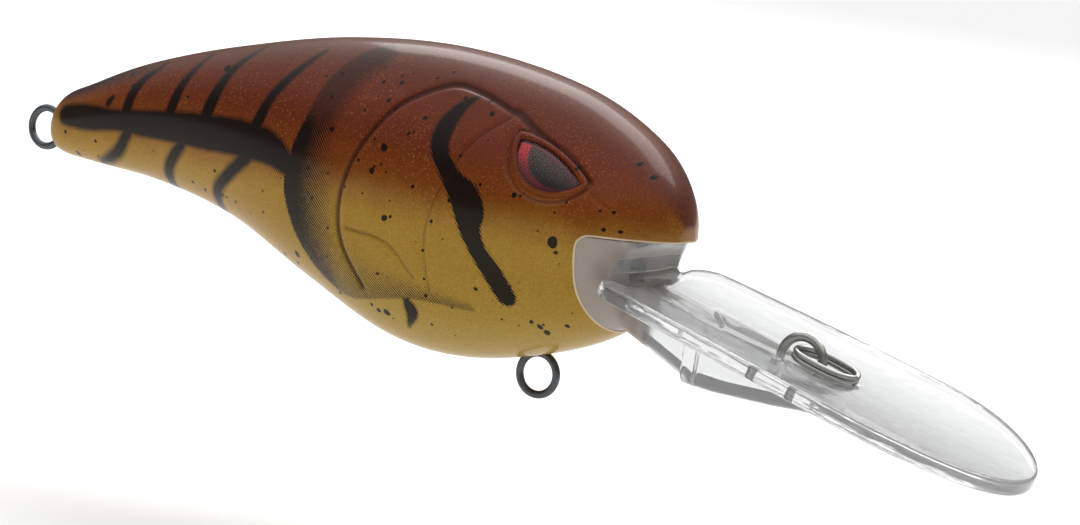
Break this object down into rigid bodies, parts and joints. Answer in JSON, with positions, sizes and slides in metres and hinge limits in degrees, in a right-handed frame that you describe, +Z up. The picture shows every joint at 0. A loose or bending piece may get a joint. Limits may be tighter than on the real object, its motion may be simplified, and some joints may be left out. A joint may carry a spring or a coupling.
{
  "type": "crankbait lure",
  "caption": "Deep-diving crankbait: hollow painted body in two halves, long clear diving bill, wire line tie with split ring, belly and tail hook eyes, inner rattles.",
  "frame": {"origin": "centre of the belly hook eye, on the seam between the halves", "axes": "+X towards the nose and bill, +Y to the lure's left, +Z up through the back"},
  "size_m": [0.0892, 0.0198, 0.0249],
  "materials": {
    "painted_body": "red-brown back over olive-gold belly with black bars and specks under clear gloss",
    "clear_bill": "clear polycarbonate, smoky in the throat",
    "steel_wire": "drawn stainless wire",
    "dark_wire": "darkened steel wire",
    "eye_foil": "red metallic foil with a dark pupil",
    "eye_dome": "clear domed resin",
    "ballast_metal": "dense dull grey metal",
    "ball_steel": "polished steel ball"
  },
  "bodies": {
    "body": {"shell_left": "painted_body", "shell_right": "painted_body", "diving_bill": "clear_bill", "line_tie_staple": "steel_wire", "belly_hook_hanger": "dark_wire", "tail_hook_hanger": "dark_wire", "eye_foil_left": "eye_foil", "eye_foil_right": "eye_foil", "eye_dome_left": "eye_dome", "eye_dome_right": "eye_dome", "ballast_slug_front": "ballast_metal", "ballast_slug_rear": "ballast_metal"},
    "split_ring": {"line_tie_split_ring": "steel_wire"},
    "knocker": {"knocker_weight": "ballast_metal"},
    "rattle_front": {"rattle_ball_front": "ball_steel"},
    "rattle_middle": {"rattle_ball_middle": "ball_steel"},
    "rattle_rear": {"rattle_ball_rear": "ball_steel"},
    "rattle_tail": {"tail_rattle_ball": "ball_steel"}
  },
  "joints": [
    {"name": "split_ring_swing", "type": "hinge", "parent": "body", "child": "split_ring", "pos_m": [0.02048, 0, 0.00593], "axis": [0, -1, 0], "range_deg": [0, 175]},
    {"name": "knocker_slide", "type": "slide", "parent": "body", "child": "knocker", "axis": [1, 0, 0], "range_m": [-0.003, 0.003]},
    {"name": "rattle_front_slide", "type": "slide", "parent": "body", "child": "rattle_front", "axis": [0, 1, 0], "range_m": [-0.00394, 0.00394]},
    {"name": "rattle_middle_slide", "type": "slide", "parent": "body", "child": "rattle_middle", "axis": [0, 1, 0], "range_m": [-0.0027, 0.0027]},
    {"name": "rattle_rear_slide", "type": "slide", "parent": "body", "child": "rattle_rear", "axis": [0, 1, 0], "range_m": [-0.00139, 0.00139]},
    {"name": "rattle_tail_slide", "type": "slide", "parent": "body", "child": "rattle_tail", "axis": [1, 0, 0], "range_m": [-0.0016, 0.0016]}
  ]
}
